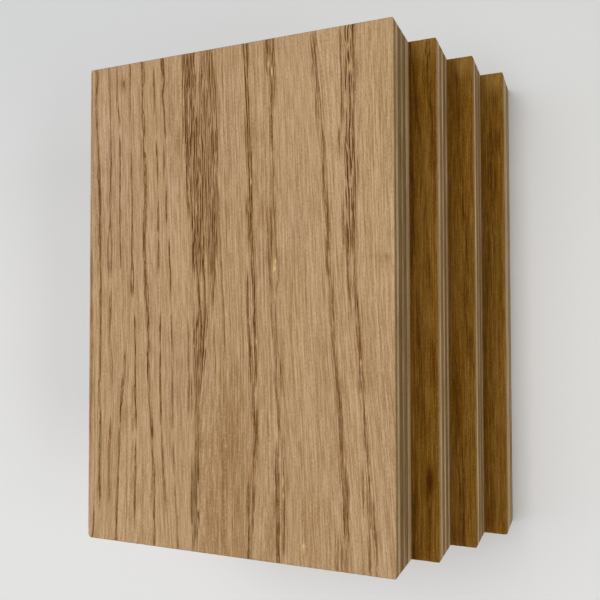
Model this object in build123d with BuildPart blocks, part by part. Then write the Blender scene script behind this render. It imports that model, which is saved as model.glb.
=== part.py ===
from build123d import *
import os

# A stack of four oak-veneered plywood blanks, lying flat, each slid a little sideways on the next.
# Millimetres. X is the width of a blank, Y its length and the grain of its faces, Z is up.
# The origin is under the middle of the stack, on the surface that it lies on.

# One blank, as it is sold
sheet_width = 100.0
sheet_length = 150.0

# The plies, as thicknesses. The grain turns a quarter from each ply to the next.
face_veneer_thickness = 0.6
crossband_thickness = 1.1
long_ply_thickness = 3.0
cross_ply_thickness = 3.0
core_ply_thickness = 2.6

# The saw leaves the corners nearly sharp, and sanding breaks the arrises of both faces
corner_radius = 0.5
arris_bevel = 0.25

# How far each blank is slid past the one above it, along X, from the top of the stack down
sheet_slides = [8.0, 7.7, 7.0]

# The lay-up from the good face down. It is balanced: the same plies in the same order from either face.
lay_up = [
    ("face_veneer", face_veneer_thickness),
    ("upper_crossband", crossband_thickness),
    ("upper_long_ply", long_ply_thickness),
    ("upper_cross_ply", cross_ply_thickness),
    ("core_ply", core_ply_thickness),
    ("lower_cross_ply", cross_ply_thickness),
    ("lower_long_ply", long_ply_thickness),
    ("lower_crossband", crossband_thickness),
    ("back_veneer", face_veneer_thickness),
]
sheet_thickness = sum(thickness for ply, thickness in lay_up)

# Where each blank's middle is along X, with the whole stack centred on the origin
sheet_count = len(sheet_slides) + 1
slid_by = [sum(sheet_slides[:number]) for number in range(sheet_count)]
stack_middle = (min(slid_by) + max(slid_by)) / 2
sheet_centres = [slide - stack_middle for slide in slid_by]
stack_height = sheet_count * sheet_thickness

# A bevel stays within its veneer and within the round of the corner that it runs around
sanded_bevel = min(arris_bevel, 0.8 * face_veneer_thickness, 0.8 * corner_radius)


def make_ply(name, centre_x, underside, thickness, sanded_face=None):
    """One ply as cut with its blank. sanded_face is the outer face whose arrises are broken, if any."""
    with BuildPart() as ply:
        with BuildSketch(Plane.XY.offset(underside)):
            with Locations((centre_x, 0)):
                RectangleRounded(sheet_width, sheet_length, corner_radius)
        extrude(amount=thickness)
        if sanded_face == "top":
            chamfer(ply.faces().sort_by(Axis.Z)[-1].edges(), sanded_bevel)
        if sanded_face == "bottom":
            chamfer(ply.faces().sort_by(Axis.Z)[0].edges(), sanded_bevel)
    ply.part.label = name
    export_step(ply.part, f"parts/{name}.step")


def make_sheet(number, centre_x, top):
    """One blank, laid up from its good face down, every ply seated on the next."""
    ply_top = top
    for ply, thickness in lay_up:
        underside = ply_top - thickness
        sanded_face = {"face_veneer": "top", "back_veneer": "bottom"}.get(ply)
        make_ply(f"sheet_{number}_{ply}", centre_x, underside, thickness, sanded_face)
        ply_top = underside


os.makedirs("parts", exist_ok=True)
for place, centre_x in enumerate(sheet_centres):
    make_sheet(place + 1, centre_x, stack_height - place * sheet_thickness)
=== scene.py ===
from math import pi, radians

import bpy
import numpy as np
from mathutils import Matrix, Vector


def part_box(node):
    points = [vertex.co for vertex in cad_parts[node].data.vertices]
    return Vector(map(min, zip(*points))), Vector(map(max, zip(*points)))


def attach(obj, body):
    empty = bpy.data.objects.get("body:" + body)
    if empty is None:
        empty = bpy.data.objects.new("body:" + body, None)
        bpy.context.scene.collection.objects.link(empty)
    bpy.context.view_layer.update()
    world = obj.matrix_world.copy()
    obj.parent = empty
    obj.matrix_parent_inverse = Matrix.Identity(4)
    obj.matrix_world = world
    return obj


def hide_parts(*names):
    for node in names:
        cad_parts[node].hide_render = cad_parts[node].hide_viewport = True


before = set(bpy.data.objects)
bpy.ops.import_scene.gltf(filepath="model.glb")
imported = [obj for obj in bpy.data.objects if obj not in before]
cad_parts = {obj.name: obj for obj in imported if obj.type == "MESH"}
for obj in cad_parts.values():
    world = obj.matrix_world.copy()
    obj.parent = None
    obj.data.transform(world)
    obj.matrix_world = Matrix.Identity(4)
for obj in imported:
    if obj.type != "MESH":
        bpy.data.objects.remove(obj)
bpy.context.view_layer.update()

# Four oak-faced plywood blanks lying flat, every ply its own closed mesh, seen from above.
# Work is in millimetres, in the frame's own axes, and turns to metres where a mesh is made.
mm = .001

# The plies from the good face down, and the finish of each
plyOrder = ["face_veneer", "upper_crossband", "upper_long_ply", "upper_cross_ply", "core_ply",
            "lower_cross_ply", "lower_long_ply", "lower_crossband", "back_veneer"]
slotOf = {ply: "oak_veneer" if "veneer" in ply else "cross_grain_ply" if "cross" in ply
          else "long_grain_ply" for ply in plyOrder}


# Shader wiring

class Wire:
    # A socket that can be added, multiplied and so on
    def __init__(self, finish, socket):
        self.finish, self.socket = finish, socket

    def sum(self, operation, *values):
        return self.finish.node("Math", {"operation": operation}, dict(enumerate(values)))

    def __add__(self, other):
        return self.sum("ADD", self, other)

    def __radd__(self, other):
        return self.sum("ADD", other, self)

    def __sub__(self, other):
        return self.sum("SUBTRACT", self, other)

    def __rsub__(self, other):
        return self.sum("SUBTRACT", other, self)

    def __mul__(self, other):
        return self.sum("MULTIPLY", self, other)

    def __rmul__(self, other):
        return self.sum("MULTIPLY", other, self)


class Finish:
    # A material, or the world, with its node tree
    def __init__(self, owner):
        self.owner = owner
        owner.use_nodes = True
        self.tree = owner.node_tree
        self.tree.nodes.clear()

    def node(self, kind, settings=None, sockets=None, out=0):
        # Any node: its type, its settings, the values or links of its sockets, and the output that is wanted
        made = self.tree.nodes.new("ShaderNode" + kind)
        for key, value in (settings or {}).items():
            setattr(made, key, value)
        for key, value in (sockets or {}).items():
            if isinstance(value, Wire):
                self.tree.links.new(value.socket, made.inputs[key])
            else:
                made.inputs[key].default_value = value
        return Wire(self, made.outputs[out]) if made.outputs else None

    def painted(self, name, out=2):
        # Something that the mesh carries at its vertices: 0 colour, 1 vector, 2 number
        return self.node("Attribute", {"attribute_name": name, "attribute_type": "GEOMETRY"}, out=out)

    def apart(self, vector):
        # The three numbers of a vector
        made = self.node("SeparateXYZ", {}, {0: vector}).socket.node
        return [Wire(self, socket) for socket in made.outputs]

    def noise(self, place, x, y, detail=2, rough=.5, bend=0):
        # Noise with x by y bumps for each millimetre, 0 to 1 with its middle at a half
        stretched = self.node("VectorMath", {"operation": "MULTIPLY"}, {0: place, 1: (x, y, 1)})
        return self.node("TexNoise", {}, {"Vector": stretched, "Scale": 1, "Detail": detail,
                                          "Roughness": rough, "Distortion": bend})

    def textures(self, place, how):
        # One noise for each entry of a dictionary, in its order
        return (self.noise(place, *numbers) for numbers in how.values())

    def comb(self, place, across, spacing, width, sway):
        # Thin dark lines along the grain, 1 on them and 0 between, that sway, part and meet
        drift = self.noise(place, .31 / spacing, .045, 1) + self.noise(place, .8 / spacing, .16, 1) * .3
        phase = across * (1 / spacing) + drift * sway
        off = phase.sum("FRACT", phase) - .5
        return self.step(off * off, (width / spacing / 2) ** 2, 0)

    def step(self, value, low, high):
        # 0 below low, 1 above high, smooth between
        return self.node("MapRange", {"interpolation_type": "SMOOTHSTEP"},
                         {"Value": value, "From Min": low, "From Max": high})

    def blend(self, amount, first, second):
        # Two colours mixed by an amount between 0 and 1
        first, second = (value if isinstance(value, Wire) else colour(*value) for value in (first, second))
        return self.node("Mix", {"data_type": "RGBA", "clamp_factor": True},
                         {0: amount, 6: first, 7: second}, 2)

    def looking(self):
        # 1 where a ray is the camera's own, or its mirrored or refracted one
        path = self.node("LightPath").socket.node
        camera, glossy, clear = (Wire(self, path.outputs[f"Is {ray} Ray"])
                                 for ray in ("Camera", "Glossy", "Transmission"))
        return camera.sum("MAXIMUM", camera, glossy.sum("MAXIMUM", glossy, clear))

    def surface(self, sockets, height=None, depth=0):
        # The shader itself, with an optional fine relief, depth in mm
        if height is not None:
            sockets["Normal"] = self.node("Bump", {}, {"Height": height, "Distance": depth * mm})
        return self.node("BsdfPrincipled", {}, sockets)

    def close(self, shader, kind="OutputMaterial"):
        self.node(kind, {}, {"Surface": shader})
        return self.owner


def colour(red, green, blue):
    # A colour as a picture shows it, 0 to 255, as light
    seen = [value / 255 for value in (red, green, blue)]
    return tuple(value / 12.92 if value <= .04045 else ((value + .055) / 1.055) ** 2.4
                 for value in seen) + (1,)


def addToScene(name, data):
    made = bpy.data.objects.new(name, data)
    bpy.context.scene.collection.objects.link(made)
    return made


def ease(share):
    return share * share * (3 - 2 * share)


def softNoise(x, y, cellX, cellY, seed):
    # Smooth seeded noise, from -1 to 1, with bumps about cellX by cellY mm
    cells = 256
    lattice = np.random.default_rng(seed).uniform(-1, 1, (cells, cells))
    x, y = np.broadcast_arrays(np.asarray(x) / cellX + 64.37, np.asarray(y) / cellY + 64.61)
    column, row = np.floor(x).astype(int), np.floor(y).astype(int)
    along, up = ease(x - column), ease(y - row)
    column, row = column % cells, row % cells
    right, above = (column + 1) % cells, (row + 1) % cells
    below = lattice[row, column] * (1 - along) + lattice[row, right] * along
    over = lattice[above, column] * (1 - along) + lattice[above, right] * along
    return below * (1 - up) + over * up


# The blanks, as the frame has them

def readSheet(number):
    boxes = [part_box(f"sheet_{number}_{ply}") for ply in plyOrder]
    low, high = boxes[0]
    return {"number": number,
            "centre": (low.x + high.x) / 2 / mm,
            "halfWidth": (high.x - low.x) / 2 / mm,
            "halfLength": (high.y - low.y) / 2 / mm,
            "levels": [high.z / mm] + [box[0].z / mm for box in boxes],
            "seed": 100 * number}


sheets = [readSheet(number) for number in (1, 2, 3, 4)]
print("blanks read from the frame:", len(sheets))

edge = {
    "cornerRadius": .5,       # the saw leaves the corners nearly sharp
    "wornCorner": 1.3,        # the top blank's near left corner is knocked round
    "bevel": .25,             # sanded arris
    "nick": .5,               # how deep the arris is chipped here and there
    "step": .6,               # between columns round an inner ply
    "cornerPoints": [0, .12, .25, .38, .5, .8],    # the columns nearest a corner
    "cornerEnd": 1.4,         # where the even columns begin
    "rows": 8,                # of points over a ply's edge, and fewer on the thin ones
    "thinRows": {"upper_crossband": 4, "lower_crossband": 4, "core_ply": 7},
    "glued": (.97, .98),      # a ply's glued faces close this far out
    "glueSwing": [0, .05, .09, .17, .17, .17, .17, .09, .05, 0],   # how far each glue line wanders
    "sawMark": .022,
    "endGrainPull": .03,      # end grain lies a little behind side grain
    "glueGroove": .03,
    "endGrainRough": .05,
    "sideGrainRough": .018,
    "endGrainFrom": .7,       # an edge that faces the grain's end this squarely shows end grain
    "sharpFrom": 50,          # degrees between faces that meet in a sharp edge
    "apart": .37,             # keeps the noise of one piece away from the next one's
}


def outline(sheet, x, y, inset):
    # Points of the square-cornered outline moved on to the rounded one, and inset from it
    worn = (sheet["number"] == 1) & (x < 0) & (y < 0)
    radius = np.where(worn, edge["wornCorner"], edge["cornerRadius"])
    coreX = np.clip(x, radius - sheet["halfWidth"], sheet["halfWidth"] - radius)
    coreY = np.clip(y, radius - sheet["halfLength"], sheet["halfLength"] - radius)
    outX, outY = x - coreX, y - coreY
    far = np.maximum(np.hypot(outX, outY), 1e-6)
    outX, outY = outX / far, outY / far
    return coreX + outX * (radius - inset), coreY + outY * (radius - inset), outX, outY


def boundary(sheet):
    # Points round an inner ply, counterclockwise from the near left corner
    near, end = edge["cornerPoints"], edge["cornerEnd"]
    a, b = sheet["halfWidth"], sheet["halfLength"]
    sides = []
    for length in (2 * a, 2 * b):
        middle = np.linspace(end, length - end, int(round((length - 2 * end) / edge["step"])))
        sides.append(np.concatenate([near, middle, length - np.array(near[:0:-1])]))
    wide, long = sides
    x = np.concatenate([wide - a, np.full(long.size, a), a - wide, np.full(long.size, -a)])
    y = np.concatenate([np.full(wide.size, -b), long - b, np.full(wide.size, b), b - long])
    return x, y


def runLength(x, y):
    return np.concatenate([[0], np.cumsum(np.hypot(np.diff(x), np.diff(y)))])


def glueLevel(sheet, k, x, y):
    # Height of glue line k, counted down from the good face: 0 and 9 are the two outer faces
    return sheet["levels"][k] + edge["glueSwing"][k] * softNoise(x, y, 21, 27, sheet["seed"] + 40 + k)


def edgeRelief(sheet, seed, along, height, endGrain, seam):
    # How far the sawn edge lies behind its true place, never outside it
    saw = edge["sawMark"] * (1 + softNoise(along, height, 1.4, 40, sheet["seed"] + 7)) / 2
    side = edge["sideGrainRough"] * (1 + softNoise(along, height, 9, .35, seed)) / 2
    rough = edge["endGrainRough"] * (1 + softNoise(along, height, .7, .5, seed + 1)) / 2
    cut = side + endGrain * (edge["endGrainPull"] + rough - side)
    return saw + cut + seam * edge["glueGroove"]


def bands(rings):
    # Quads between one closed ring of points and the next below it
    return np.concatenate([np.stack([upper, lower, np.roll(lower, -1), np.roll(upper, -1)], 1)
                           for upper, lower in zip(rings, rings[1:])])


def makePiece(sheet, ply, points, quads, caps, painted, material, flip=False):
    # One closed mesh from points, quads and many-sided caps, all in mm, that stands in for its node
    if flip:
        quads = quads[:, ::-1]
        caps = [cap[::-1] for cap in caps]
    node = f"sheet_{sheet['number']}_{ply}"
    mesh = bpy.data.meshes.new(node + "_wood")
    points = np.concatenate(points) * mm
    corners = np.concatenate([quads.ravel()] + caps)
    starts = np.cumsum([0] + [4] * len(quads) + [len(cap) for cap in caps])[:-1]
    mesh.vertices.add(len(points))
    mesh.vertices.foreach_set("co", points.ravel())
    mesh.loops.add(len(corners))
    mesh.loops.foreach_set("vertex_index", corners.astype(np.int32))
    mesh.polygons.add(len(starts))
    mesh.polygons.foreach_set("loop_start", starts.astype(np.int32))
    mesh.update(calc_edges=True)
    for key, values in painted.items():
        values = np.concatenate(values)
        kind, field = ("FLOAT_VECTOR", "vector") if values.ndim == 2 else ("FLOAT", "value")
        layer = mesh.attributes.new(key, kind, "POINT")
        layer.data.foreach_set(field, values.astype(np.float32).ravel())
    mesh.polygons.foreach_set("use_smooth", np.ones(len(starts), bool))
    mesh.set_sharp_from_angle(angle=radians(edge["sharpFrom"]))
    mesh.materials.append(material)
    piece = addToScene(node + "_wood", mesh)
    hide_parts(node)
    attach(piece, "root")


# Inner plies: a sawn edge all round, and two hidden glued faces

# How brown each ply is, from the good face down, blank by blank. Below 0 it is paler than its own grain.
plyShade = {1: [0, 0, .25, .56, .52, .38, .26, -.6, 0], 2: [0, -.3, .12, .28, .22, .44, .3, .3, 0],
            3: [0, 0, .05, .35, .55, .45, .5, .4, 0], 4: [0, .4, .4, -.5, .05, .3, .35, .3, 0]}


def makePly(sheet, ply, material):
    k = plyOrder.index(ply)
    seed = sheet["seed"] + 10 * k
    x, y = boundary(sheet)
    roundX, roundY, outX, outY = outline(sheet, x, y, 0)
    along, zero = runLength(x, y), np.zeros(x.size)
    facing = np.abs(outY if slotOf[ply] == "long_grain_ply" else outX)
    endGrain = (facing > edge["endGrainFrom"]).astype(float)
    top, bottom = glueLevel(sheet, k, x, y), glueLevel(sheet, k + 1, x, y)
    flatTop, flatBottom = sheet["levels"][k], sheet["levels"][k + 1]
    points, painted = [], {"edgePlace": [], "endGrain": [], "seam": [], "shade": []}

    def addRing(ringX, ringY, z, seam):
        points.append(np.stack([ringX + sheet["centre"], ringY, z], 1))
        place = np.stack([along, flatTop - z, zero + seed * edge["apart"]], 1)
        for key, value in zip(painted, (place, endGrain, zero + seam, zero + plyShade[sheet["number"]][k])):
            painted[key].append(value)

    glued = roundX * edge["glued"][0], roundY * edge["glued"][1]
    addRing(*glued, zero + flatTop, 1)
    rows = edge["thinRows"].get(ply, edge["rows"])
    for share in (1 - np.cos(np.linspace(0, pi, rows + 1))) / 2:    # rows crowd towards the glue lines
        seam = max(0, 1 - 6 * min(share, 1 - share))
        z = top + (bottom - top) * share
        pull = edgeRelief(sheet, seed, along, flatTop - z, endGrain, seam)
        addRing(roundX - outX * pull, roundY - outY * pull, z, seam)
    addRing(*glued, zero + flatBottom, 1)

    rings = [np.arange(x.size) + x.size * ring for ring in range(len(points))]
    makePiece(sheet, ply, points, bands(rings), [rings[0], rings[-1][::-1]], painted, material)


# The grain of an oak face. Positions are mm in from the left edge and mm down from the far edge.
# A run goes down, in, down, in and so on. The good face's runs are read off the photograph.
faceWide, faceLong = 100, 150

goodFace = {
    "shift": .45,          # how far right of their true place the marks were read
    "bold": 1,
    "bundlesFrom": 54,     # right of here each line is a bundle of threads, left of it a single one
    "pale": [],
}
# How the whole grain wanders
goodFace["flow"] = [
    (0,3, 15,3, 35,3.9, 50,4.3, 80,4.9, 100,4.6, 128,4.9, 150,4.2),
    (0,7.6, 22,8.4, 57,8.3, 78,8.7, 96,9.2, 118,8.6, 150,8.3),
    (0,10.7, 15,11.4, 32,12, 56,12.3, 96,14, 108,13, 131,11.9, 150,11.4),
    (0,15.6, 34,16.4, 50,16.8, 67,17.1, 88,18.1, 112,18.5, 150,18.2),
    (0,20.5, 20,20.7, 45,21.6, 74,22.2, 89,22.8, 103,23.1, 122,24.7, 150,25.3),
    (0,24.4, 10,24.7, 32,25.7, 55,26.4, 84,27.1, 108,27.5, 118,28, 150,30),
    (0,27.5, 20,28.2, 46,29.3, 63,30.4, 86,31.2, 104,31.5, 122,31.9, 150,33.8),
    (0,36.2, 45,36.4, 85,37.2, 108,37.4, 150,37.8),
    (0,42.2, 45,43.2, 80,42.9, 95,41.6, 115,40.4, 150,39.9),
    (0,46.2, 25,47, 45,47.5, 65,48.4, 87,49.5, 115,50.1, 150,50.3),
    (0,55.8, 16,56.9, 45,57.8, 60,58.3, 77,59, 91,59.5, 121,59.2, 150,58),
    (0,63.6, 20,64.5, 44,65, 80,65.4, 97,66.5, 116,67.3, 150,67.6),
    (0,76.8, 15,78.8, 33,80.3, 56,81.6, 81,83.1, 100,84.4, 118,85.5, 150,87.4),
    (0,88, 20,88.3, 50,88.8, 73,89.4, 98,91, 118,92.8, 135,94, 150,95),
]
# Single lines: how wide, how dark the wood round them, how dark and how many their pores, then the run
goodFace["lines"] = [
    (.4, .59, .67, .9, 0,3, 15,3, 32,3.8), (.42, .88, .84, 1.2, 32,3.8, 44,4.3, 60,4.5),
    (.34, .66, .78, 1.1, 60,4.5, 78,4.9, 92,4.9, 100,4.6, 108,4.6),
    (.36, .73, .9, 1.2, 110,4.8, 124,5, 139,4.8), (.3, .53, .67, .8, 141,2.8, 150,2.4),
    (.3, .4, .45, .6, 60,1.2, 90,1.5, 120,1.1), (.34, .42, .62, .7, 0,7.6, 12,8, 24,8.4),
    (.34, .66, .73, 1, 24,8.4, 45,8.5, 50,8.2), (.26, .53, .67, .9, 48,8.3, 57,7.7, 66,7.8),
    (.26, .53, .67, .9, 48,8.4, 57,8.9, 66,8.8), (.4, .55, .73, 1.2, 73,8.7, 82,8.6),
    (.34, .4, .5, .7, 82,8.3, 88,8.2, 92,9.1, 101,9.3), (.36, .53, .67, .9, 113,8.8, 121,8.5, 137,8.4),
    (.34, .48, .62, .7, 0,10.7, 11,10.8, 19,11.5), (.34, .61, .67, .9, 24,11.9, 40,12.1, 63,12.4),
    (.34, .55, .67, .9, 91,14, 100,14), (.42, .82, .84, 1.3, 100,13.4, 106,12.9, 112,12.6),
    (.34, .55, .67, .9, 115,12.3, 126,12, 136,11.7), (.38, .73, .81, 1.1, 137,11.6, 150,11.3),
    (.3, .5, .62, .8, 0,15.6, 9,15.6, 15,15.9), (.3, .5, .67, .8, 29,16.3, 39,16.5),
    (.34, .63, .67, .9, 40,16.6, 50,16.9, 62,16.8), (.24, .66, .78, 1.2, 63,16.5, 68,16.2, 72,16.5),
    (.24, .66, .78, 1.2, 63,16.9, 68,17.4, 72,17.2), (.26, .79, 1, 1.2, 80,17.9, 94,18.2),
    (.36, .77, .9, 1.2, 95,18.2, 103,17.9, 113,18.5), (.34, .61, .67, .9, 119,18.3, 130,18.1, 142,18.2),
    (.44, .66, .67, 1, 0,20.4, 10,20.5, 25,20.8), (.44, .73, .73, 1.1, 25,20.9, 33,21.2, 42,21.6, 52,21.5),
    (.34, .82, .95, 1.2, 51,21.2, 66,21.5), (.55, .79, .84, 1.8, 66,21.8, 73,22.2, 79,22.6),
    (.4, .79, .9, 1.3, 79,22.8, 90,22.9, 99,23.1), (.3, .58, .78, 1, 99,23.1, 106,23.4, 116,24.2),
    (.3, .73, .95, 1.2, 113,24.3, 120,24.7, 126,24.9), (.38, .63, .73, 1, 127,25.1, 138,25.4, 150,25.4),
    (.26, .58, .78, .9, 4,24.5, 16,24.8), (.24, .66, .84, .9, 27,25.6, 38,25.9),
    (.3, .53, .67, .8, 44,26.3, 55,26.4, 66,26.6), (.24, .82, 1, 1.2, 81,27.1, 88,27.1),
    (.24, .73, 1, 1.1, 91,27.2, 103,27.2), (.3, .53, .67, .8, 104,27.4, 112,27.7),
    (.3, .55, .67, .8, 116,28, 124,28.4, 138,29.4), (.24, .79, .9, 1.1, 0,27.2, 5,27.3),
    (.26, .82, .95, 1.2, 0,27.9, 8,28.2, 12,27.6), (.26, .73, .9, 1.1, 12,27.6, 17,28.2, 24,28.9),
    (.24, .58, .78, .9, 29,28.3, 37,28.3), (.24, .73, .95, 1, 42,29.2, 51,29.4),
    (.24, .79, 1, 1.1, 58,30.2, 67,30.5), (.26, .66, .84, 1, 66,30.6, 73,30.8),
    (.24, .58, .9, 1.1, 81,31.1, 91,31.3), (.26, .5, .7, 1, 95,31.5, 113,31.6),
    (.26, .44, .6, .8, 118,31.8, 126,32.1), (.26, .38, .55, .7, 132,32.5, 150,33.8),
    # the lines beside the broad brown figure
    (.22, .5, .7, 1.3, 0,35, 14,35, 26,35.2), (.22, .52, .72, 1.3, 0,36.2, 20,36.3, 46,36.6),
    (.22, .5, .7, 1.2, 2,37.4, 18,37.3, 36,37.6), (.22, .46, .66, 1.2, 0,38.3, 12,38.2, 26,38.4),
    (.22, .46, .66, 1.2, 16,39, 30,39.1, 44,39.2), (.28, .66, .85, 1.4, 62,39.9, 71,40.5, 80,41.2, 88,41.6),
    (.24, .55, .8, 1.2, 63,42.2, 72,42.6, 81,43), (.22, .46, .7, 1, 84,37.1, 98,37.3, 109,37.2),
    (.2, .46, .7, 1, 99,38.2, 109,38.3), (.2, .46, .7, 1, 99,39.8, 109,39.7),
    (.2, .4, .6, .9, 100,40.6, 109,40.6), (.55, .36, .45, .9, 107,40.5, 119,40.4),
    (.22, .5, .75, 1.1, 117,39.9, 128,39.7), (.22, .5, .75, 1.1, 117,40.7, 128,40.6),
    (.18, .46, .6, .8, 44,47.4, 56,47.9, 67,48.5, 78,49.1, 90,49.6),
    (.18, .4, .55, .8, 83,46, 90,46.2, 98,46.5),
    # the dark streak right of the middle
    (.3, .7, .95, 1.6, 57,58.4, 64,58.6, 69,58.5), (.26, .85, 1, 1.8, 69,58.9, 78,59.1, 86,59.2),
    (.28, .6, .85, 1.5, 69,57, 81,57.1, 85,57.6, 98,57.9), (.26, .66, .9, 1.5, 85,59.3, 98,59.6),
    (.34, .55, .8, 1.5, 99,58.9, 111,59), (.2, .6, .9, 1.6, 107,59.3, 117,59.4),
    (.2, .6, .9, 1.6, 108,59.9, 116,60), (.28, .62, .9, 1.4, 117,59.3, 125,58.9),
    (.28, .55, .8, 1.3, 126,57.3, 138,57.2), (.26, .6, .85, 1.3, 129,58.8, 141,58.5),
    (.3, .6, .85, 1.4, 140,57.5, 150,57.2),
    # the sharp line and its flecks
    (.24, .44, .65, 1.1, 0,62.7, 9,63.1), (.24, .5, .75, 1.2, 5,65, 12,65.4, 19,65.4),
    (.2, .66, .95, 1.5, 12,64.4, 31,64.7), (.18, .55, .8, 1.3, 31,64.8, 38,65.1, 51,65.1),
    (.18, .46, .7, 1.1, 50,63.2, 58,63.3, 66,63.6), (.18, .5, .75, 1.1, 50,64.3, 60,64.4, 66,64.2),
    (.18, .46, .7, 1.1, 50,65.6, 60,65.8, 66,66.4), (.2, .4, .6, 1, 66,64.2, 69,64, 72,64.6),
    (.2, .4, .6, 1, 66,66.4, 70,66.5, 73,65.9), (.2, .4, .6, .9, 77,64.5, 86,64.7),
    (.2, .4, .6, .9, 77,65.6, 88,65.9, 96,66.1), (.22, .55, .8, 1.2, 93,67.3, 101,67.4),
    (.22, .5, .75, 1.1, 95,65.7, 104,65.9), (.22, .44, .65, 1, 105,66.7, 114,66.8),
    (.22, .5, .75, 1.2, 114,67.9, 118,67.9), (.2, .55, .8, 1.3, 118,65.8, 133,65.9, 150,66.3),
    (.2, .55, .8, 1.3, 118,66.4, 133,66.5, 150,66.9), (.22, .5, .75, 1.3, 121,68.1, 134,68.2, 147,68.2),
    # the line that runs down to the right
    (.34, .5, .75, 1.3, 2,76.8, 11,77.3), (.34, .55, .8, 1.4, 2,77.7, 11,78.2, 19,78.9),
    (.3, .5, .7, 1.2, 28,79.9, 34,80.3, 46,80.6), (.3, .6, .85, 1.4, 45,81, 51,81.4, 63,81.7),
    (.36, .5, .72, 1.6, 63,81.3, 69,81.7), (.3, .5, .77, 1.4, 67,82.2, 77,82.8, 85,83.2),
    (.3, .5, .77, 1.4, 84,83.2, 93,83.6, 101,84.2), (.28, .49, .77, 1.4, 99,84.5, 108,84.8, 117,85),
    (.24, .42, .68, 1.2, 99,85.2, 108,85.5, 115,85.6), (.4, .49, .77, 1.8, 114,85.4, 121,85.5),
    (.24, .42, .68, 1.2, 121,85.1, 129,85.5), (.24, .42, .68, 1.2, 121,86.4, 129,86.7),
    (.3, .55, .85, 1.6, 127,85.9, 141,86.2), (.3, .52, .81, 1.6, 127,87, 141,87.2),
    (.24, .37, .59, 1.1, 141,84.3, 150,84), (.24, .39, .63, 1.4, 143,85.4, 150,85.6),
    (.24, .39, .63, 1.4, 143,86.6, 150,86.9),
    # the last figure before the right edge
    (.24, .46, .7, 1.2, 2,85.5, 14,85.6, 26,85.8), (.26, .5, .75, 1.2, 0,89.4, 12,89.5, 23,89.4),
    (.24, .44, .65, 1.1, 29,85, 35,85.1), (.24, .46, .66, 1.1, 49,86.2, 61,86.2),
    (.24, .5, .7, 1.1, 49,88.8, 61,88.7), (.24, .5, .7, 1.2, 56,87.2, 70,87.6, 81,87.9),
    (.28, .46, .68, 1.3, 65,89.2, 81,89.5), (.5, .5, .72, 2.2, 81,90.3, 88,90.7, 96,90.8),
    (.22, .42, .68, 1.2, 95,90.5, 102,90.7), (.28, .46, .72, 1.3, 95,91.2, 106,91.7, 116,92),
    (.3, .5, .77, 1.5, 115,92.7, 121,93), (.24, .39, .63, 1.1, 121,91.4, 132,91.5),
    (.28, .5, .77, 1.4, 123,93.1, 138,93.4), (.28, .49, .77, 1.4, 130,94.2, 139,94.5),
    (.24, .42, .68, 1.2, 139,93, 149,93.1), (.24, .42, .68, 1.2, 137,95, 150,95.2),
]
# Broad figures between two runs: darkness of the wash, pores for each square mm, pore darkness
goodFace["bands"] = [
    (.18, .2, .6, (0,34.6, 30,35.6, 48,36.4), (0,39.6, 30,40.2, 48,40.2)),
    (.27, .2, .6, (0,40.6, 20,40, 45,39.2, 60,38.2), (0,45, 20,47.4, 45,47, 60,47.2)),
    (.3, .26, .75, (48,37.9, 66,38.4), (48,42, 66,42.6)),
    (.3, .26, .75, (48,43.4, 66,43.8), (48,47.3, 66,46.6)),
    (.4, .24, .72, (61,44.4, 69,44.5, 77,45), (61,46.6, 70,46.2, 77,45.6)),
    (.42, .24, .72, (80,38.6, 96,38.9, 101,39.1), (80,44, 90,43.6, 101,41.6)),
    (.4, .24, .75, (125,38, 140,37.9, 147,38.6), (125,41.2, 140,41.1, 147,40.6)),
    (.9, .26, .9, (0,54.9, 11,55.9, 23,56.5), (0,57.2, 11,57.2, 23,57.6)),
    (.8, .2, .75, (22,55.7, 36,56.5), (22,57.6, 36,58.2)),
    (.95, .26, .95, (34,56.8, 49,57.2), (34,58.4, 49,58.6)),
    (.7, .22, .8, (48,56, 58,56.2), (48,58.6, 58,58.4)),
    (.34, .2, .7, (0,62.4, 13,64.2), (0,65.6, 13,65.9)),
    (.34, .1, .55, (18,77.2, 29,78.6), (18,80.2, 29,80.9)),
    (.34, .24, .8, (0,86.6, 20,86.5, 45,86.6, 62,87), (0,89.2, 20,89.1, 45,89.8, 62,89.4)),
    (.28, .2, .6, (36,89.6, 44,89.8), (36,90.5, 44,90.6)),
    (.34, .24, .8, (76,88.9, 85,89.4), (76,90.3, 85,90.8)),
]
# Soft tints: in, down, half width, half height, tint (0 pink, 1 gold, 2 brown), strength
goodFace["tints"] = [
    (31.5, 30, 3, 34, 0, .8), (33.5, 90, 2.8, 34, 0, .7), (24.5, 72, 1.4, 30, 0, .7),
    (51.5, 22, 3.8, 26, 0, .7), (61, 67, 2.2, 14, 0, .7), (73, 55, 4.2, 8, 0, .6),
    (44, 100, 1.6, 18, 0, .9), (11, 102, 1.4, 6, 0, .6), (10, 30, 10, 32, 0, .85), (96, 34, 4.5, 34, 1, .9),
    (71.5, 80, 4.2, 24, 1, .7), (49, 60, 2.5, 18, 1, .5), (34, 62, 2.4, 22, 1, .5),
    (5.5, 92, 4.5, 22, 1, .4), (51, 134, 9, 34, 2, 1), (46, 8, 4, 14, 2, .5), (60, 44, 3.2, 36, 2, .4),
    (44, 60, 9, 70, 2, .35), (78, 138, 8, 20, 2, .35), (86, 110, 4, 34, 2, .3),
]
# Evenly spaced fine lines: from, to, spacing, darkness, from down, to down
goodFace["fineLines"] = [
    (.8, 19, 1.1, .3, 0, 150), (19.5, 34, 1.3, .26, 0, 150), (47.5, 55.2, 1.05, .42, 0, 150),
    (59.6, 76.5, 1.15, .36, 0, 150), (70, 82, 1.2, .36, 40, 125), (41.5, 57, 1, .4, 92, 150),
    (89.5, 99.6, .9, .4, 0, 150), (60, 65, .9, .34, 88, 150), (76, 84, 1.1, .34, 100, 150),
]
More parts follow.
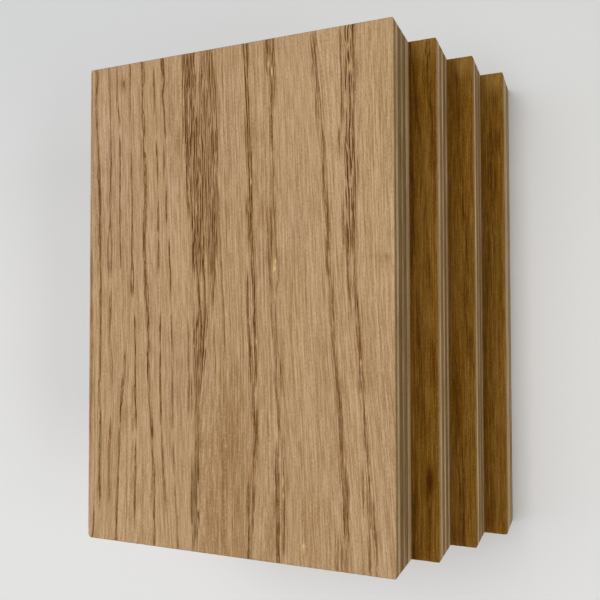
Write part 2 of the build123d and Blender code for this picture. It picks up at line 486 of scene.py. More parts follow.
# Pale flecks: in, down, half width, half height, strength
goodFace["flecks"] = [
    (65.5, 66.5, .45, 1.1, 1), (65.7, 64.4, .3, .5, 1), (74.2, 144.5, .45, .9, 1), (63.6, 7.5, .25, 1.2, 1),
    (64.6, 9.8, .25, 1.4, 1), (68, 127, .22, 1.3, 1), (68.1, 131, .22, 1, 1), (87.6, 6, .22, 1.3, 1),
    (88.1, 12, .22, 1.6, 1), (58, 41.2, .2, .6, 1), (59.7, 88, .22, .6, 1), (90.9, 93.5, .22, .8, 1),
]
# Warm stains in the grain, in the same order as the flecks
goodFace["rust"] = [
    (8.7, 78, .8, 4, .6), (8.6, 118, .8, 3.5, .5), (28, 118.5, .8, 3.5, .6), (58.3, 110.5, .7, 3.5, .7),
    (58.3, 124.5, .7, 3.5, .7), (81.4, 66, .8, 3, .5), (85.5, 118, .9, 3, .8), (90.6, 88.5, .8, 7, .6),
]
# Brown smudges and scratches
goodFace["spots"] = [
    (13.1, 6.4, 2.2, 2.8, .5), (95, 64.8, 4.6, .6, .3), (98.4, 64.9, .9, .8, .4), (3.2, 64.5, 2.4, .9, .25),
]
# Dark specks
goodFace["knots"] = [
    (13.3, 6.2, .55, 1.2, .95), (13.9, 8.4, .3, .9, .4), (98.3, 64.8, .3, .7, .6), (99.1, 65, .3, .7, .6),
]

# The strips that show of the three blanks below, in the same way. On each, the spots about 93 mm in, beside
# the step, are painted shade from the blank above, and the first pale mark, at the far end, is painted light.
stripMarks = {
    2: {
        "lines": [
            (.3, .8, .7, .8, 0,92.3, 30,92.5, 66,92.7), (.26, .5, .6, .8, 42,93.3, 65,93.6),
            (.24, .6, .7, .8, 5,93.2, 14,93.7, 20,94.1), (.3, .85, .8, 1, 16,93.9, 22,94.3, 27,94.8),
            (.22, .35, .4, .6, 26,95.3, 46,95.4), (.24, .45, .5, .8, 5,97.2, 9,97.6),
            (.24, .5, .6, .8, 12,97.7, 15,97.8), (.24, .5, .6, .8, 12,98.3, 15,98.4),
            (.26, .75, .9, 1, 18,97.8, 21,98.6, 25,98.9, 32,99), (.26, .5, .6, .8, 35,99.1, 46,99.3),
            (.24, .7, .9, 1, 46,96.6, 50,96.5), (.24, .8, .95, 1, 50,96.3, 53,96.2),
            (.24, .4, .5, .6, 56,96.4, 58,97.4), (.3, .7, .8, 1, 63,97.2, 72,97.5),
            (.26, .7, .7, .8, 74,94, 82,94.1, 87,94.4, 93,94.9), (.22, .5, .6, .8, 94,94.9, 99,94.8),
            (.26, .45, .5, .8, 75,97.8, 80,97.9), (.26, .7, .8, .8, 89,98.4, 94,98.5, 100,98.9),
            (.22, .35, .4, .6, 102,94.1, 110,94.1), (.26, .7, .8, .8, 105,95.3, 110,95.6, 117,96.1),
            (.24, .6, .7, .8, 124,96.5, 133,96.5), (.26, .75, .8, .9, 124,97.2, 132,97.2),
            (.24, .7, .8, .8, 134,97.3, 141,97.1), (.22, .4, .5, .6, 142,97.1, 148,97.1),
            (.22, .45, .5, .6, 118,93.2, 123,93.3), (.22, .5, .6, .6, 127,93.4, 134,93.5),
            (.36, .85, .7, .8, 131,92.4, 150,92.6),
        ],
        # spots about 93 mm in are painted shade beside the step; the first pale mark is painted light at the
        # far end
        "spots": [
            (97.4, 127.5, 1.9, 5, .9), (97, 124, 2.6, .5, .5), (96.5, 130.4, 3, .4, .45),
            (93.4, 20, 1, 9, .3), (92.8, 45, .9, 18, .5),
        ],
        "knots": [
            (96.9, 3.6, .3, 1.4, 1), (97.2, 1.6, .3, 1.2, 1), (98, 4.4, .32, 1.4, 1),
            (97.5, 5.6, .28, 1.4, .8), (98, 1.4, .28, 1.2, .9), (97.4, 8, .3, 1.2, .6),
        ],
        "pale": [(97, 2, 4.4, 4.5, .9), (96.8, 35, .9, 12, .35), (96.5, 80, 2.4, 14, .3)],
        "rust": [(96, 84, 2.5, 12, .4), (98.5, 92, .8, 8, .5), (96, 148, 4, 2.5, .7)],
    },
    3: {
        "lines": [
            (.3, .6, .5, .8, 1,94.5, 6,95, 12,95.6, 18,96.1), (.24, .5, .6, .8, 15,95.3, 24,95.6),
            (.22, .35, .4, .6, 27,95.9, 34,96.3, 42,96.6), (.24, .75, .8, .9, 43,96.5, 48,96.7),
            (.22, .75, .9, .9, 48,96.9, 53,97.2, 58,97.5, 66,97.9), (.22, .55, .7, .8, 70,97, 76,97.1),
            (.22, .55, .7, .8, 71,97.8, 76,97.9), (.24, .55, .7, .8, 75,96.8, 83,97.3, 93,98),
            (.2, .55, .8, .9, 82,97.9, 93,98.7), (.22, .55, .8, .9, 84,98.6, 91,99.2, 98,99.6),
            (.28, .65, .5, .8, 94,93, 101,93.5, 108,94.3, 116,95.2),
            (.26, .55, .5, .8, 90,93.5, 97,94.3, 106,95.5), (.24, .6, .6, .8, 108,94.1, 117,94.2, 123,94.1),
            (.24, .7, .7, .8, 125,94.5, 131,94.9, 138,95.3), (.2, .6, .7, .8, 121,95.9, 129,96.2),
            (.22, .65, .7, .8, 129,95.9, 140,96.1, 150,96.3), (.22, .6, .7, .8, 140,95.1, 150,95.8),
            (.22, .35, .4, .6, 108,98.9, 121,98.9),
        ],
        # spots about 93 mm in are painted shade beside the step; the first pale mark is painted light at the
        # far end
        "spots": [(93.4, 14, 1.5, 15, .42), (93, 48, 1.2, 30, .2), (94, 148, 2.4, 6, .5)],
        "knots": [],
        "pale": [(97.4, 2.5, 4, 4, .85), (98.2, 110, 1.6, 20, .35)],
        "rust": [(95, 29.5, .8, 3, .8), (94.3, 82, .7, 6, .6), (95, 104, 1, 14, .6), (94.5, 147, 3, 4, .6)],
    },
    4: {
        "lines": [
            (.26, .6, .6, .8, 6,97.5, 10,97.6), (.22, .4, .5, .6, 13,99.6, 17,99.6),
            (.24, .5, .6, .9, 21,95.1, 28,95.1), (.24, .6, .7, .9, 20,96, 27,96.1),
            (.22, .6, .7, .9, 23,96.4, 27,96.4), (.22, .5, .7, .9, 20,97.2, 24,97.2),
            (.24, .55, .7, .9, 23,97.7, 28,97.7), (.22, .6, .8, .9, 20,98.4, 28,98.4),
            (.22, .5, .7, .9, 29,94.9, 37,94.8), (.24, .6, .7, .9, 29,95.8, 39,96),
            (.22, .5, .7, .9, 32,97.4, 40,97.3), (.22, .55, .7, .9, 39,96.3, 44,96.4),
            (.22, .55, .7, .9, 38,97, 44,97), (.22, .5, .7, .9, 44,94.8, 49,94.6),
            (.26, .6, .7, .9, 52,94.8, 58,95.1), (.22, .5, .7, .9, 49,96.4, 53,96.3),
            (.22, .55, .7, .9, 53,96.6, 60,96.9), (.24, .45, .6, .8, 59,95, 63,94.9),
            (.22, .5, .6, .8, 63,94.3, 76,94.2), (.22, .5, .6, .8, 62,95.8, 72,95.9),
            (.3, .6, .6, .6, 86,93.4, 97,93.3), (.3, .5, .5, .6, 100,93.2, 136,93.4),
            (.22, .4, .5, .8, 134,94.9, 141,95.2), (.22, .35, .4, .8, 137,96, 144,96.2),
        ],
        # spots about 93 mm in are painted shade beside the step; the first pale mark is painted light at the
        # far end
        "spots": [(96.6, 34, 1.6, 15, .3), (93.6, 70, .9, 60, .35), (94.5, 145, 1.6, 8, .45)],
        "knots": [],
        "pale": [(97, 3, 4.4, 5, .95), (97, 105, 2, 40, .3)],
        "rust": [
            (95.5, 110, .8, 4, .6), (94.4, 129, .8, 4, .5), (94.5, 146, 1.6, 6, .7), (96.2, 18, .8, 4, .5),
        ],
    },
}


def pairs(run):
    return list(zip(run[::2], run[1::2]))


for marks in (goodFace, *stripMarks.values()):
    marks["lines"] = [(*line[:4], pairs(line[4:])) for line in marks["lines"]]
goodFace["flow"] = [pairs(run) for run in goodFace["flow"]]
goodFace["bands"] = [(*band[:3], pairs(band[3]), pairs(band[4])) for band in goodFace["bands"]]


def followRun(run, down):
    downs, ins = zip(*run)
    return np.interp(down, downs, ins)


def fadeRun(run, down, fade=2.5):
    # 1 along a run, falling to 0 at its ends, save where it runs off the blank
    first, last = run[0][0], run[-1][0]
    opening = np.ones_like(down) if first <= 0 else np.clip((down - first + fade) / fade / 1.5, 0, 1)
    closing = np.ones_like(down) if last >= faceLong else np.clip((last + fade - down) / fade / 1.5, 0, 1)
    return opening * closing


def flowShift(flow, u, down):
    # How far the grain that is u in from the left at mid length has wandered, at each height down
    runs = sorted(flow, key=lambda run: followRun(run, faceLong / 2))
    middles = np.array([followRun(run, faceLong / 2) for run in runs])
    shifts = np.stack([followRun(run, down) - middle for run, middle in zip(runs, middles)])
    kernel = np.hanning(11)
    kernel /= kernel.sum()
    padded = np.pad(shifts, ((0, 0), (5, 5)), "edge")
    shifts = np.stack([np.convolve(row, kernel, "valid") for row in padded])
    return np.stack([np.interp(u[row], middles, shifts[:, row]) for row in range(len(down))])


# How strongly each sort of mark shows
look = {"halo": .57, "pore": .9, "bandWash": .9, "zone": 1.2, "fine": 1.3,
        "edgeHold": 8}    # how far in from the sides the grid still runs straight

# What the mesh carries of the grain, and of the painted light and shade on the lower strips, besides its
# place and its tints.
# aside, lineDark and lineWide tell of the nearest early-wood line: how far right of it a point is,
# how dark it is and how wide.
carried = ("wash", "thread", "pore", "fleck", "crowding", "rust", "pale", "aside", "lineDark", "lineWide")


class OakFace:
    # A grid of points over one face of a blank, with what its grain is at each of them
    def __init__(self, face, gridIn, down, seed):
        self.random = np.random.default_rng(seed)
        self.seed, self.down, self.bundlesFrom = seed, down, face["bundlesFrom"]
        start = np.broadcast_to(gridIn, (len(down), len(gridIn))).copy()
        held = ease(np.clip(np.minimum(start, faceWide - start) / look["edgeHold"], 0, 1))
        self.across = start + held * flowShift(face["flow"], start, down) + face["shift"]
        u = self.across.copy()
        for turn in range(4):
            u = self.across - flowShift(face["flow"], u, down)
        self.u = u
        self.rows = np.broadcast_to(down[:, None], u.shape)
        for key in carried + ("groove",):
            setattr(self, key, np.zeros(u.shape))
        self.aside += 1
        self.tint = np.zeros(u.shape + (3,))
        lookup = np.arange(0, faceWide + .01, .1)
        self.column = np.stack([np.interp(lookup, row, np.arange(row.size)) for row in self.across])

    def soak(self, amount):
        # A soft brown darkening, laid over those already there: the wood's own staining, and painted shade
        # beside the step on the lower strips
        self.wash = 1 - (1 - self.wash) * (1 - np.clip(amount, 0, 1))

    def cutPore(self, centre, length, width, strength, runAt):
        # One pore: a thin lens along the grain, at centre mm down, where runAt says it is across
        rows = np.nonzero(np.abs(self.down - centre) < length / 2)[0]
        across = runAt(self.down[rows])
        good = (across > .6) & (across < faceWide - .6)
        rows, across = rows[good], across[good]
        if rows.size == 0:
            return
        way = (self.down[rows] - centre) / (length / 2)
        column = np.round(self.column[rows, np.round(across * 10).astype(int)])
        columns = np.clip(column[:, None].astype(int) + np.arange(-3, 4), 0, self.u.shape[1] - 1)
        off = self.across[rows[:, None], columns] - across[:, None]
        value = strength * (1 - way ** 2)[:, None] ** .5 * np.exp(-(off / width) ** 2)
        self.pore[rows[:, None], columns] = np.maximum(self.pore[rows[:, None], columns], value)

    def braid(self, swing, cell):
        return swing * softNoise(self.down, self.random.uniform(0, 200), cell, 1, self.seed + 7)

    def cutPores(self, count, run, middle, spread, strong, longest=7):
        for pore in range(int(count)):
            shift = self.random.normal(0, spread)
            self.cutPore(self.random.uniform(run[0][0], run[-1][0]), self.random.uniform(1.6, longest),
                         self.random.uniform(.10, .15), strong * self.random.uniform(.55, 1),
                         lambda down: np.interp(down, self.down, middle) + shift)

    def drawLine(self, width, dark, poreDark, poreCount, run):
        # An early-wood line: a soft brown zone here, and a place for the threads that the shader draws in it
        zone = width * look["zone"]
        middle = followRun(run, self.down) + self.braid(.14, 9)
        fade = fadeRun(run, self.down)[:, None]
        patchy = .7 + .3 * softNoise(self.across * 1.3, self.rows, 1, 5, self.seed + 4)
        off = self.across - middle[:, None]
        self.soak(dark * look["halo"] * np.exp(-(off / (zone + .15)) ** 2) * fade * patchy)
        reach = zone + (.35 if run[0][1] > self.bundlesFrom else 0)
        crowd = np.clip(dark, 0, 1) * np.exp(-(off / reach / 1.3) ** 4)
        self.crowding = np.maximum(self.crowding, crowd * fade)
        near = (np.abs(off) < np.abs(self.aside)) & (fade > 0)
        self.aside = np.where(near, off, self.aside)
        self.lineDark = np.where(near, dark * fade, self.lineDark)
        self.lineWide = np.where(near, width, self.lineWide)
        self.groove = np.maximum(self.groove, dark * fade * np.exp(-(off / .16) ** 2))
        self.cutPores((run[-1][0] - run[0][0]) * poreCount * .3, run, middle, width * .4,
                      poreDark * look["pore"])

    def drawBand(self, dark, density, poreDark, left, right):
        # A broad figure: a brown wash between two runs, full of threads and pores
        low, high = followRun(left, self.down), followRun(right, self.down)
        inside = np.clip((self.across - low[:, None]) / .5 + .5, 0, 1)
        inside = inside * np.clip((high[:, None] - self.across) / .35 + .5, 0, 1)
        fade = fadeRun(left, self.down, 5)[:, None]
        blotch = .66 + .34 * softNoise(self.u, self.rows, 1.6, 9, self.seed + 5)
        self.soak(dark * look["bandWash"] * inside * fade * blotch)
        self.crowding = np.maximum(self.crowding, (.4 + .6 * density / .26) * inside * fade)
        strands = max(2, int(round(float(np.mean(high - low)) / (.18 / density))))
        for strand in range(strands):
            share = (strand + self.random.uniform(.2, .8)) / strands
            own = low * (1 - share) + high * share + self.braid(.22, 5)
            self.cutPores((left[-1][0] - left[0][0]) * .16, left, own, .06, poreDark * look["pore"], 9)

    def drawFineLines(self, first, last, spacing, dark, top, bottom):
        at = first
        while at < last:
            width = self.random.uniform(.11, .17)
            strong = dark * look["fine"] * self.random.uniform(.45, 1.25)
            fade = .55 + .45 * softNoise(self.down, at, 13, 1, self.seed + 9)
            fade *= np.clip((self.down - top + 6) / 9, 0, 1) * np.clip((bottom + 6 - self.down) / 9, 0, 1)
            sway = .18 * softNoise(self.down, at, 11, 1, self.seed + 8)
            off = (self.u - at - sway[:, None]) / width
            self.thread = np.maximum(self.thread, strong * fade[:, None] * np.exp(-off ** 2))
            at += spacing * self.random.uniform(.72, 1.3)

    def spot(self, spotIn, spotDown, halfWide, halfTall, hard=1.4):
        far = ((self.across - spotIn) / halfWide) ** 2 + ((self.rows - spotDown) / halfTall) ** 2
        return np.exp(-far * hard)

    def drawAll(self, face):
        for *where, which, strength in face["tints"]:
            self.tint[..., which] = np.maximum(self.tint[..., which], strength * self.spot(*where, 1.1))
        for fine in face["fineLines"]:
            self.drawFineLines(*fine)
        for band in face["bands"]:
            self.drawBand(*band)
        for width, dark, poreDark, poreCount, run in face["lines"]:
            self.drawLine(width, dark * face["bold"], poreDark * face["bold"], poreCount, run)
        # the pale layer also carries painted light at the far ends of the lower strips
        for key, layer in (("flecks", "fleck"), ("rust", "rust"), ("pale", "pale"), ("knots", "pore")):
            for *where, strength in face[key]:
                setattr(self, layer, np.maximum(getattr(self, layer), strength * self.spot(*where)))
        # spots: smudges and scratches, and on the lower strips also painted shade beside the step
        for *where, strength in face["spots"]:
            self.soak(strength * self.spot(*where))


# Faces that the photograph doesn't show. A pair is the least and the most of a seeded choice.
wild = {
    "lean": (-.045, .045), "flowApart": 12, "flowSway": (-.35, .35), "waver": (-.15, .15),
    "firstLine": (1, 4), "lineApart": (2.2, 5.4), "lineFrom": (-10, 10), "lineLong": (14, 42),
    "lineGap": (0, 8), "lineWide": (.2, .42), "lineDark": (.35, .65), "linePores": (.8, 1.4),
    "bands": 5, "bandIn": (4, 92), "bandFrom": (-20, 110), "bandLong": (30, 70),
    "bandWide": (1.2, 5), "bandTaper": (.8, 1.1), "bandDark": (.25, .5),
    "tints": 9, "tintIn": (4, 96), "tintDown": (0, 150), "tintWide": (2, 7), "tintTall": (14, 40),
    "tintStrength": (.3, .8),
    "linesTo": 88, "figuresTo": 84,    # further in, a lower blank has only its photographed marks
}


def wildFace(seed):
    # A face that the photograph doesn't show, drawn as the good one is
    random = np.random.default_rng(seed)

    def pick(key):
        return random.uniform(*wild[key])

    lean = pick("lean")

    def runFrom(at, first, last):
        downs = np.linspace(first, last, max(2, int((last - first) / 18) + 1))
        return [(down, at + lean * down + pick("waver")) for down in downs]

    flow = []
    for start in np.arange(2, faceWide - 1, wild["flowApart"]):
        run, at = [], start
        for down in range(0, faceLong + 1, 25):
            run.append((down, at + lean * down))
            at += pick("flowSway")
        flow.append(run)
    face = {"shift": 0, "bold": 1, "bundlesFrom": 50, "flow": flow,
            "fineLines": [(.5, faceWide - .5, 1.25, .22, 0, faceLong)]}
    for key in ("lines", "bands", "tints", "flecks", "rust", "spots", "knots", "pale"):
        face[key] = []

    at = pick("firstLine")
    while at < faceWide - 2:
        down = pick("lineFrom")
        while down < faceLong - 5:
            last = min(faceLong, down + pick("lineLong"))
            dark = pick("lineDark")
            face["lines"].append((pick("lineWide"), dark, dark + .2, pick("linePores"),
                                  runFrom(at, max(0, down), last)))
            down = last + pick("lineGap")
        at += pick("lineApart")
    for place in range(wild["bands"]):
        at, first = pick("bandIn"), pick("bandFrom")
        last = min(faceLong, first + pick("bandLong"))
        left = runFrom(at, max(0, first), last)
        wide = pick("bandWide")
        right = [(down, value + wide * pick("bandTaper")) for down, value in left]
        face["bands"].append((pick("bandDark"), .2, .7, left, right))
    for place in range(wild["tints"]):
        face["tints"].append((pick("tintIn"), pick("tintDown"), pick("tintWide"), pick("tintTall"),
                              int(random.integers(0, 3)), pick("tintStrength")))
    return face


def stripFace(number):
    # A lower blank's good face: the photographed marks where it shows, and others where it doesn't
    face, marks = wildFace(500 + number), stripMarks[number]
    lines = [line for line in face["lines"] if line[-1][0][1] < wild["linesTo"]] + marks["lines"]
    face.update(marks, lines=lines, bold=.55, fineLines=[(.5, faceWide - .5, .8, .22, 0, faceLong)],
                flow=[[(0, start), (faceLong, start)] for start in (2, 50, 98)],
                bands=[band for band in face["bands"] if band[-1][0][1] < wild["figuresTo"]],
                tints=[tint for tint in face["tints"] if tint[0] < wild["figuresTo"]])
    return face


# Face and back veneers: the whole outer face is a grid that carries the grain, its pores cut in

veneer = {
    "poreDepth": .07, "threadDepth": .02, "grooveDepth": .03,
    "rows": 136,
    "columns": {"all": 656, "under": 260},    # across a face that is seen whole, or seen from below
    "strip": 9.5,                             # as much of a face as shows of a covered one
    "stripColumns": 52, "coveredColumns": 12,
    "bevelRings": ((.15, .04), (.05, .13)),   # inset and depth of the rings that round the arris
}


def gridColumns(sheet, fine):
    # Columns across a face, in mm from its left edge: close together only where the face is seen
    width = 2 * sheet["halfWidth"] - 2 * edge["bevel"]
    if fine in veneer["columns"]:
        return np.linspace(0, width, veneer["columns"][fine]) + edge["bevel"]
    shown = np.linspace(0, veneer["strip"] - .1, veneer["stripColumns"])
    hidden = np.linspace(veneer["strip"] + .1, width, veneer["coveredColumns"])
    left = np.concatenate([shown, hidden])
    return (left if fine == "left" else width - left[::-1]) + edge["bevel"]


def makeVeneer(sheet, side, fine, face, material):
    # side is 1 for the good face, on top, and -1 for the back
    ply, k, outer, glue = ("face_veneer", 0, 0, 1) if side > 0 else ("back_veneer", 8, 9, 8)
    seed = sheet["seed"] + 10 * k
    a, b, bevel = sheet["halfWidth"], sheet["halfLength"], edge["bevel"]
    oak = OakFace(face, gridColumns(sheet, fine), np.linspace(bevel, 2 * b - bevel, veneer["rows"]), seed)
    oak.drawAll(face)

    # rows run down the face, so turn them to run up
    grid = {key: getattr(oak, key)[::-1] for key in ("across", "u", "rows", "tint", "groove") + carried}
    ny, nx = oak.u.shape
    index = np.arange(ny * nx).reshape(ny, nx)
    loop = np.concatenate([index[0, :-1], index[:-1, -1], index[-1, :0:-1], index[:0:-1, 0]])
    zero = np.zeros(loop.size)

    # the rim of the grid lies on the inside of the arris
    flatX = (grid["across"] - face["shift"] - a).ravel()
    flatY = (b - grid["rows"]).ravel()
    rimX = np.clip(flatX[loop] * (a / (a - bevel)), -a, a)
    rimY = np.clip(flatY[loop] * (b / (b - bevel)), -b, b)
    chips = softNoise(rimX * 1.3 + rimY, rimY, 1.7, 2.3, sheet["seed"] + 61 + side)
    nick = np.clip(chips - .62, 0, 1) * edge["nick"]
    flatX[loop], flatY[loop], outX, outY = outline(sheet, rimX, rimY, bevel + nick)
    along = runLength(rimX, rimY)
    endGrain = (np.abs(outY) > edge["endGrainFrom"]).astype(float)

    outerZ = sheet["levels"][outer]
    relief = (veneer["poreDepth"] * grid["pore"] + veneer["threadDepth"] * grid["thread"]
              + veneer["grooveDepth"] * grid["groove"])
    for rim in (relief[0], relief[-1], relief[:, 0], relief[:, -1]):
        rim *= .3
    points = [np.stack([flatX + sheet["centre"], flatY, outerZ - side * relief.ravel()], 1)]
    far = np.full(ny * nx, seed * edge["apart"])
    painted = {"grain": [np.stack([grid["u"].ravel(), grid["rows"].ravel(), far], 1)],
               "edgePlace": [np.stack([flatX, flatY, far], 1)],
               "tint": [grid["tint"].reshape(-1, 3)]}
    painted.update({key: [grid[key].ravel()] for key in carried})
    painted.update({key: [0 * far] for key in ("rim", "endGrain", "seam")})

    def addRing(inset, depth, rim, seam):
        ringX, ringY = outline(sheet, rimX, rimY, inset)[:2]
        points.append(np.stack([ringX + sheet["centre"], ringY, outerZ - side * depth], 1))
        own = {"rim": zero + rim, "seam": zero + seam, "endGrain": endGrain,
               "edgePlace": np.stack([along, depth, zero + seed * edge["apart"]], 1)}
        for key, values in painted.items():
            values.append(own[key] if key in own else values[0][loop])

    thick = side * (outerZ - glueLevel(sheet, glue, rimX, rimY))
    for inset, depth in veneer["bevelRings"]:
        addRing(inset + nick * .8, zero + depth + nick * .3, .6, 0)
    for share in (0, .5, 1):
        depth = bevel + (thick - bevel) * share
        addRing(edgeRelief(sheet, seed, along, depth, endGrain, share == 1), depth, 1, share == 1)
    addRing(zero + bevel, zero + abs(outerZ - sheet["levels"][glue]), 1, 1)

    rings = [loop] + [np.arange(loop.size) + ny * nx + loop.size * ring for ring in range(len(points) - 1)]
    cells = np.stack([index[:-1, :-1], index[:-1, 1:], index[1:, 1:], index[1:, :-1]], -1).reshape(-1, 4)
    makePiece(sheet, ply, points, np.concatenate([cells, bands(rings)]), [rings[-1][::-1]],
              painted, material, side < 0)


# Finishes. A tone is a colour as a picture shows it.

oakTones = {
    "base": (184, 151, 112), "pink": (185, 151, 121), "gold": (190, 158, 113), "brown": (154, 118, 73),
    "pale": (212, 181, 143), "dark": (134, 98, 54), "stainAndShade": (140, 105, 60), "thread": (104, 63, 8),
    "pore": (76, 41, 2), "fleck": (228, 192, 130), "rust": (166, 112, 66),
    "sideEdge": (163, 134, 92), "endEdge": (132, 100, 62),
}
# The lower blanks' oak: warmer than the top one's, and painted much darker for the shade that the blank above
# casts on their strips. That darkness is painted shade, and their backs carry it too.
shadedHoneyTones = dict(oakTones, base=(126, 86, 14), pink=(131, 84, 24), gold=(130, 93, 14), brown=(103, 65, 8),
                  pale=(161, 123, 62), dark=(82, 48, 5), stainAndShade=(96, 55, 6), thread=(70, 35, 4),
                  pore=(52, 26, 4), fleck=(157, 112, 42), rust=(120, 60, 12))
plyTones = {"side": ((180, 149, 101), (211, 182, 138)), "end": ((122, 91, 53), (170, 137, 95)),
            "deep": (103, 76, 36), "glue": (54, 34, 14)}


# Textures: bumps for each mm in two ways, then detail, roughness and bend. The two ways are across
# and along the grain on a face, and along and down a sawn edge.
oakTextures = {
    "fibre": (1.3, .024, 3, .66), "hair": (2.4, .13, 2, .6), "grit": (3.6, 1.3, 2, .6),
    "weave": (2.6, .26, 2, .6), "streak": (.5, .02, 3, .6), "cloud": (.11, .03),
    "broken": (1.4, .12), "mended": (1.15, .1), "sway": (.45, .28, 2, .6), "fork": (.22, .13, 1),
    "beads": (1.2, .36, 2, .6),
}
sawnTextures = {
    "fibre": (.09, 3.2, 3, .6), "cloud": (.05, .5), "vessels": (2.6, 3.4, 2, .6),
    "rings": (.12, 2.4, 2, .5, .3), "ragged": (.5, .1),
}
plyTextures = {"drift": (.045, .06, 2, .6), "dashes": (.35, 6, 2, .6), "dots": (3.2, 4.4, 2, .6)}
poreRows = ((.64, .34, 1.6), (.91, .38, 2))    # mm apart, mm wide, and how far they sway


def edgeColour(finish, side, end, seamColour):
    # A sawn edge: long fibres where the grain runs along it, dotted end grain where it runs out of it
    step, blend = finish.step, finish.blend
    spot = finish.painted("edgePlace", 1)
    endGrain, seam = finish.painted("endGrain"), finish.painted("seam")
    fibre, cloud, vessels, rings, ragged = finish.textures(spot, sawnTextures)
    sideColour = blend(step(fibre * .7 + cloud * .3, .3, .7), *side)
    endColour = blend(step(rings * .6 + vessels * .4, .32, .68), *end)
    mixed = blend(seam * (.25 + .7 * ragged), blend(endGrain, sideColour, endColour), seamColour)
    return mixed, fibre * (1 - endGrain) + vessels * endGrain


def makeOak(name, tones, shine):
    finish = Finish(bpy.data.materials.new(name))
    step, blend = finish.step, finish.blend
    grain = finish.painted("grain", 1)
    wash, thread, pore, fleck, crowding, rust, pale, aside, lineDark, lineWide = map(finish.painted, carried)
    pink, gold, brown = finish.apart(finish.painted("tint", 1))
    fibre, hair, grit, weave, streak, cloud, broken, mended, sway, fork, beads = finish.textures(
        grain, oakTextures)
    weave = step(weave, .36, .54)

    # rows of open pores: thin lines that part and meet again, and break off
    across = finish.apart(grain)[0]
    first, second = (finish.comb(grain, across, *how) for how in poreRows)
    rows = 1 - (1 - first * step(broken, .42, .52)) * (1 - second * step(mended, .58, .48))
    threads = rows * (.1 + 1.05 * crowding)

    # early-wood lines: threads that wander beside their run, part in two where it is wide, and break off
    wandered = aside + (sway - .5) * .6
    off = wandered.sum("ABSOLUTE", wandered) - step(fork, .42, .62) * (lineWide - .16) * 1.7
    line = step(off * off, .019, 0) * (.45 + .55 * step(beads, .42, .55)) * lineDark * 1.5
    dark = 1 - (1 - threads) * (1 - thread * (.2 + .9 * weave)) * (1 - line)

    # tone upon tone, from the ground colour up
    # the pale attribute includes painted light at the far ends of the lower strips
    layers = [(pink, "pink"), (gold, "gold"), (brown, "brown"), (rust, "rust"),
              (step(cloud, .4, .75) * .15 + pale, "pale"), (step(streak, .46, .7) * .4, "brown")]
    for texture, light, deep, much in ((fibre, .66, .34, .46), (hair, .64, .36, .38), (grit, .7, .3, .35)):
        layers += [(step(texture, .5, light) * much, "pale"), (step(texture, .5, deep) * much, "stainAndShade")]
    # the wash holds the grain's brown zones, and on the lower strips painted shade beside the step
    layers += [(wash * (.45 + .75 * weave), "stainAndShade"), (step(wash, .55, 1.05) * .8, "thread"),
               (dark, "thread"), (step(dark, .7, 1.4), "pore"), (pore * .85, "pore"), (fleck, "fleck")]
    wood = tones["base"]
    for amount, tone in layers:
        wood = blend(amount, wood, tones[tone])

    rim = finish.painted("rim")
    sawn, roughness = edgeColour(finish, (tones["sideEdge"], tones["brown"]),
                                 (tones["endEdge"], tones["dark"]), tones["pore"])
    height = (fibre * .5 + grit * .3 - dark * .8) * (1 - rim) + roughness * rim
    dull = .66 + .16 * fibre + .1 * pore + .12 * rim
    return finish.close(finish.surface({"Base Color": blend(rim, wood, sawn), "Roughness": dull,
                                        "Specular IOR Level": shine}, height, .05))


def makePlyFinish(name, tones):
    finish = Finish(bpy.data.materials.new(name))
    step, blend = finish.step, finish.blend
    sawn, roughness = edgeColour(finish, tones["side"], tones["end"], tones["glue"])
    # each ply's tone drifts along it, and its cut pores are dashes in side grain and dots in end grain
    shade, endGrain = finish.painted("shade"), finish.painted("endGrain")
    drift, dashes, dots = finish.textures(finish.painted("edgePlace", 1), plyTextures)
    sawn = blend(shade + (drift - .5) * 1.1, sawn, tones["deep"])
    sawn = blend(shade * -1, sawn, tones["side"][1])
    cut = step(dashes, .55, .68) * (1 - endGrain) * .45 + step(dots, .53, .68) * endGrain * .55
    sawn = blend(cut, sawn, tones["glue"])
    return finish.close(finish.surface({"Base Color": sawn, "Roughness": .74 + .14 * roughness,
                                        "Specular IOR Level": .12}, roughness, .09))


oakFinishes = {1: makeOak("oak_good_face", oakTones, .13)}
# the lower blanks' oak has painted shade in its colours
for number in (2, 3, 4):
    oakFinishes[number] = makeOak(f"oak_shaded_honey_{number}", shadedHoneyTones, .035)
plyFinishes = {key: makePlyFinish(key + "_sawn", plyTones) for key in ("long_grain_ply", "cross_grain_ply")}
print("finishes made")

for sheet in sheets:
    number = sheet["number"]
    for ply in plyOrder[1:-1]:
        makePly(sheet, ply, plyFinishes[slotOf[ply]])
    topFace = goodFace if number == 1 else stripFace(number)
    makeVeneer(sheet, 1, "all" if number == 1 else "right", topFace, oakFinishes[number])
    makeVeneer(sheet, -1, "under" if number == 4 else "left", wildFace(600 + number), oakFinishes[number])
    print("sheet", number, "made")

pieces = [piece for piece in bpy.data.objects if piece.type == "MESH" and piece.name.endswith("_wood")]
counts = [sum(len(face.vertices) - 2 for face in piece.data.polygons) for piece in pieces]
print("triangles:", sum(counts), "most in one piece:", max(counts))


# Floor, light and camera

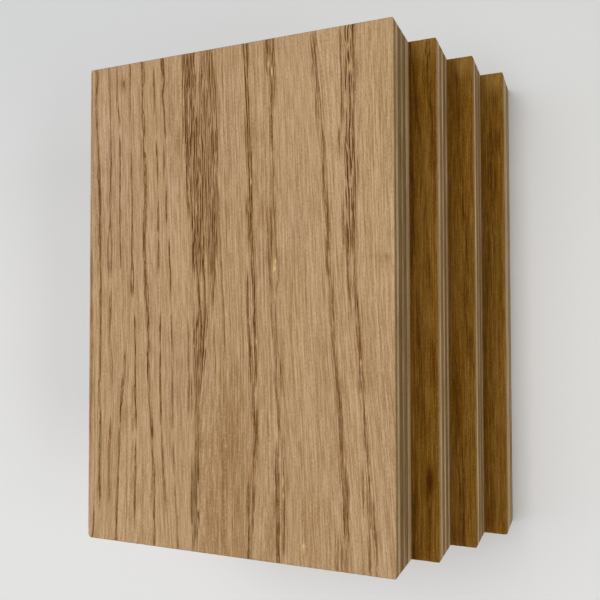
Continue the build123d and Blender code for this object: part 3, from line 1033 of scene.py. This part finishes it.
lighting = {
    "keyWay": (-.27, .12, .95), "keyFar": 1.5, "keySize": (1.3, 1.3),
    "keyPower": 14.6, "keyTint": (1, .985, .96),
    "fillWay": (.8, -.15, .58), "fillFar": 1.4, "fillSize": (.9, .45),
    "fillPower": 6.2, "fillTint": (.96, .98, 1),
    "world": .32, "backdrop": .68, "backdropTone": (.97, .98, 1, 1),
}
ground = {
    "half": 2.4,
    # Painted light and painted shade: the floor is paler towards the near side and darker and warmer towards
    # the right.
    "far": ((214, 216, 216), (218, 220, 220)), "close": ((233, 233, 233), (236, 236, 236)),
    "warmShade": (206, 203, 193), "warmShadeStrength": .75,
    "litNearFrom": (.16, -.02), "warmShadeFrom": (.04, .2),    # metres along Y, and along X
    "grainScale": 900,
    "fade": (.34, .8),        # metres out, where the floor turns into the backdrop
}
# Where the photograph was taken from, worked out from the blanks' corners in it
view = {"position": (84.91, -9.6, 255.43), "forward": (-.39113, .0283, -.9199), "up": (.01231, .9996, .02552),
        "sensor": 36, "lens": 42.256, "shift": (.02488, .01887), "clip": (.01, 20)}


def makeFloor():
    half = ground["half"]
    mesh = bpy.data.meshes.new("floor")
    mesh.from_pydata([(-half, -half, 0), (half, -half, 0), (half, half, 0), (-half, half, 0)], [],
                     [(0, 1, 2, 3)])
    floor = addToScene("floor", mesh)
    finish = Finish(bpy.data.materials.new("pale_floor"))
    spot = finish.node("TexCoord", out=3)
    x, y = finish.apart(spot)[:2]
    grain = finish.node("TexNoise", {}, {"Vector": spot, "Scale": ground["grainScale"], "Detail": 2})
    far, close = finish.blend(grain, *ground["far"]), finish.blend(grain, *ground["close"])
    # painted light: paler towards the near side
    tone = finish.blend(finish.step(y, *ground["litNearFrom"]), far, close)
    # painted shade: darker and warmer towards the right
    tone = finish.blend(finish.step(x, *ground["warmShadeFrom"]) * ground["warmShadeStrength"], tone, ground["warmShade"])
    plain = finish.surface({"Base Color": tone, "Roughness": .8, "Specular IOR Level": .2})
    # far off, the camera sees the backdrop's own tone, so that no horizon shows
    seen = finish.node("Emission", {}, {"Color": lighting["backdropTone"], "Strength": lighting["backdrop"]})
    away = finish.step(finish.node("VectorMath", {"operation": "LENGTH"}, {0: spot}, 1), *ground["fade"])
    mesh.materials.append(finish.close(
        finish.node("MixShader", {}, {0: away * finish.looking(), 1: plain, 2: seen})))


def makeLamp(name):
    lamp = bpy.data.lights.new(name, "AREA")
    lamp.shape = "RECTANGLE"
    lamp.size, lamp.size_y = lighting[name + "Size"]
    lamp.energy = lighting[name + "Power"]
    lamp.color = lighting[name + "Tint"]
    way = Vector(lighting[name + "Way"]).normalized() * lighting[name + "Far"]
    aim = Vector((0, 0, .05))
    turn = (-way).to_track_quat("-Z", "Y").to_matrix().to_4x4()
    addToScene(name, lamp).matrix_world = Matrix.Translation(aim + way) @ turn


def makeWorld():
    # What the camera sees past the floor is pale, and lights nothing
    studio = Finish(bpy.data.worlds.new("studio"))
    light, seen = (studio.node("Background", {}, {"Color": lighting["backdropTone"], "Strength": strength})
                   for strength in (lighting["world"], lighting["backdrop"]))
    bpy.context.scene.world = studio.close(
        studio.node("MixShader", {}, {0: studio.looking(), 1: light, 2: seen}), "OutputWorld")


def makeCamera():
    position, forward = Vector(view["position"]) * mm, Vector(view["forward"]).normalized()
    right = forward.cross(Vector(view["up"])).normalized()
    up = right.cross(forward)
    lens = bpy.data.cameras.new("camera")
    lens.sensor_width, lens.lens = view["sensor"], view["lens"]
    lens.shift_x, lens.shift_y = view["shift"]
    lens.clip_start, lens.clip_end = view["clip"]
    camera = addToScene("camera", lens)
    turn = Matrix((right, up, -forward)).transposed()
    camera.matrix_world = Matrix.Translation(position) @ turn.to_4x4()
    bpy.context.scene.camera = camera


makeFloor()
makeLamp("key")
makeLamp("fill")
makeWorld()
makeCamera()
bpy.context.scene.view_settings.view_transform = "Standard"
print("studio made")
